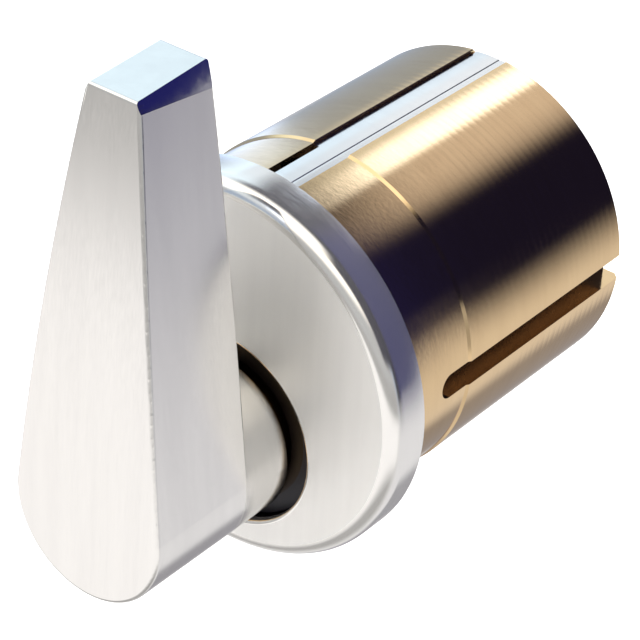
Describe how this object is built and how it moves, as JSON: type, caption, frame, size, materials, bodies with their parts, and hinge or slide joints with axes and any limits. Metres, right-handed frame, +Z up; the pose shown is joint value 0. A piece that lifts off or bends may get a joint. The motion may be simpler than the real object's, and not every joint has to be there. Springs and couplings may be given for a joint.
{
  "type": "mortise cylinder with thumbturn",
  "caption": "Screw-in mortise lock cylinder with a teardrop thumbturn lever on an offset plug, a fine outside thread and a rear cam.",
  "frame": {"origin": "on the body axis, in the plane of the head's rear seating face", "axes": "+Y along the body axis to the rear, +Z up towards the pin chambers, +X to the right seen from the front"},
  "size_m": [0.0332, 0.0552, 0.0464],
  "materials": {
    "brass": "turned and polished",
    "satin_chrome": "satin",
    "pale_metal": "plain",
    "black_acetal": "matte",
    "bronze": "plain",
    "spring_steel": "bright",
    "zinc_steel": "zinc plated",
    "cam_steel": "zinc plated"
  },
  "bodies": {
    "cylinder": {"cylinder_body": "brass", "face_cap": "satin_chrome", "pin_chamber_cover": "pale_metal", "front_thrust_washer": "black_acetal", "rear_thrust_washer": "bronze", "bowed_spring_washer": "spring_steel", "friction_plunger_front": "brass", "friction_plunger_rear": "brass", "plunger_spring_front": "spring_steel", "plunger_spring_rear": "spring_steel"},
    "turn": {"thumbturn_lever": "satin_chrome", "lever_spindle": "zinc_steel", "spindle_pin": "zinc_steel", "turn_plug": "brass", "turn_screw": "zinc_steel", "turn_screw_washer": "zinc_steel", "cam": "cam_steel", "cam_screw_left": "zinc_steel", "cam_screw_right": "zinc_steel", "cam_washer_left": "zinc_steel", "cam_washer_right": "zinc_steel"}
  },
  "joints": [
    {"name": "thumbturn", "type": "hinge", "parent": "cylinder", "child": "turn", "pos_m": [0, 0, -0.0055], "axis": [0, 1, 0], "continuous": true}
  ]
}
